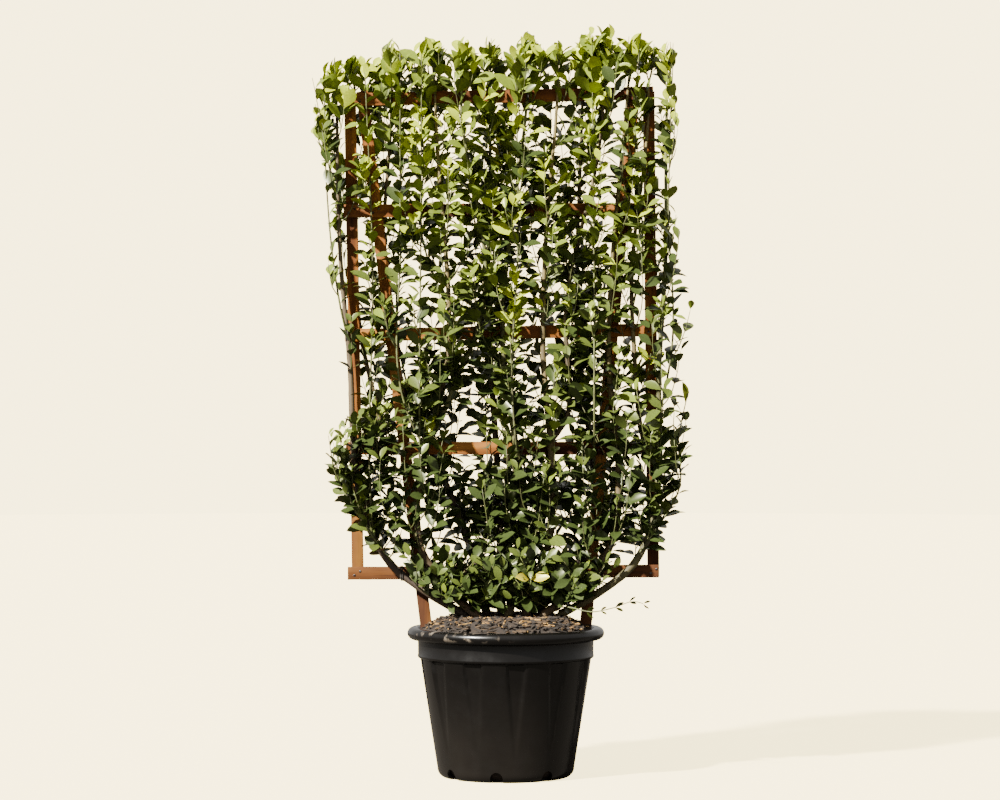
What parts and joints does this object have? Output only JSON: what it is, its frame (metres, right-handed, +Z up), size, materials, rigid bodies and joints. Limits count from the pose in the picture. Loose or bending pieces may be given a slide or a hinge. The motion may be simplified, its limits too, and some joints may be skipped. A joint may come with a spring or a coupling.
{
  "type": "potted espalier shrub on a trellis",
  "caption": "Evergreen shrub trained flat as an espalier on a slatted wooden trellis, standing in a round black plastic nursery pot filled with mulch.",
  "frame": {"origin": "middle of the pot's flat underside, on the floor", "axes": "+Z up, +X to the right along the trellis slats as seen from the front, +Y from the front of the trellis to its back"},
  "size_m": [0.7451, 0.381, 1.4532],
  "materials": {
    "pot_plastic": "warm black moulded plastic with a dull gloss, scuffed grey on the rim",
    "mulch": "coarse bark and wood chips",
    "trellis_wood": "rough-sawn orange-brown softwood",
    "stem_bark": "green young bark to finely cracked brown bark",
    "leaf_green": "glossy leathery leaves"
  },
  "bodies": {
    "root": {"pot": "pot_plastic", "soil": "mulch", "slat_1": "trellis_wood", "slat_2": "trellis_wood", "slat_3": "trellis_wood", "slat_4": "trellis_wood", "slat_5": "trellis_wood", "upright_left": "trellis_wood", "upright_right": "trellis_wood", "leg_left": "trellis_wood", "leg_right": "trellis_wood", "stem_1": "stem_bark", "stem_2": "stem_bark", "stem_3": "stem_bark", "stem_4": "stem_bark", "stem_5": "stem_bark", "stem_6": "stem_bark", "stem_7": "stem_bark", "stem_8": "stem_bark", "stem_9": "stem_bark", "bough_1": "stem_bark", "bough_2": "stem_bark", "bough_3": "stem_bark", "bough_4": "stem_bark", "foliage_front_low_left": "leaf_green", "foliage_front_low_middle": "leaf_green", "foliage_front_low_right": "leaf_green", "foliage_front_second_left": "leaf_green", "foliage_front_second_middle": "leaf_green", "foliage_front_second_right": "leaf_green", "foliage_front_third_left": "leaf_green", "foliage_front_third_middle": "leaf_green", "foliage_front_third_right": "leaf_green", "foliage_front_high_left": "leaf_green", "foliage_front_high_middle": "leaf_green", "foliage_front_high_right": "leaf_green", "foliage_back_low_left": "leaf_green", "foliage_back_low_right": "leaf_green", "foliage_back_second_left": "leaf_green", "foliage_back_second_middle": "leaf_green", "foliage_back_second_right": "leaf_green", "foliage_back_third_left": "leaf_green", "foliage_back_third_middle": "leaf_green", "foliage_back_third_right": "leaf_green", "foliage_back_high_left": "leaf_green", "foliage_back_high_middle": "leaf_green", "foliage_back_high_right": "leaf_green", "top_shoot_01": "leaf_green", "top_shoot_02": "leaf_green", "top_shoot_03": "leaf_green", "top_shoot_04": "leaf_green", "top_shoot_05": "leaf_green", "top_shoot_06": "leaf_green", "top_shoot_07": "leaf_green", "top_shoot_08": "leaf_green", "top_shoot_09": "leaf_green", "top_shoot_10": "leaf_green", "top_shoot_11": "leaf_green", "top_shoot_12": "leaf_green", "top_shoot_13": "leaf_green"}
  },
  "joints": []
}
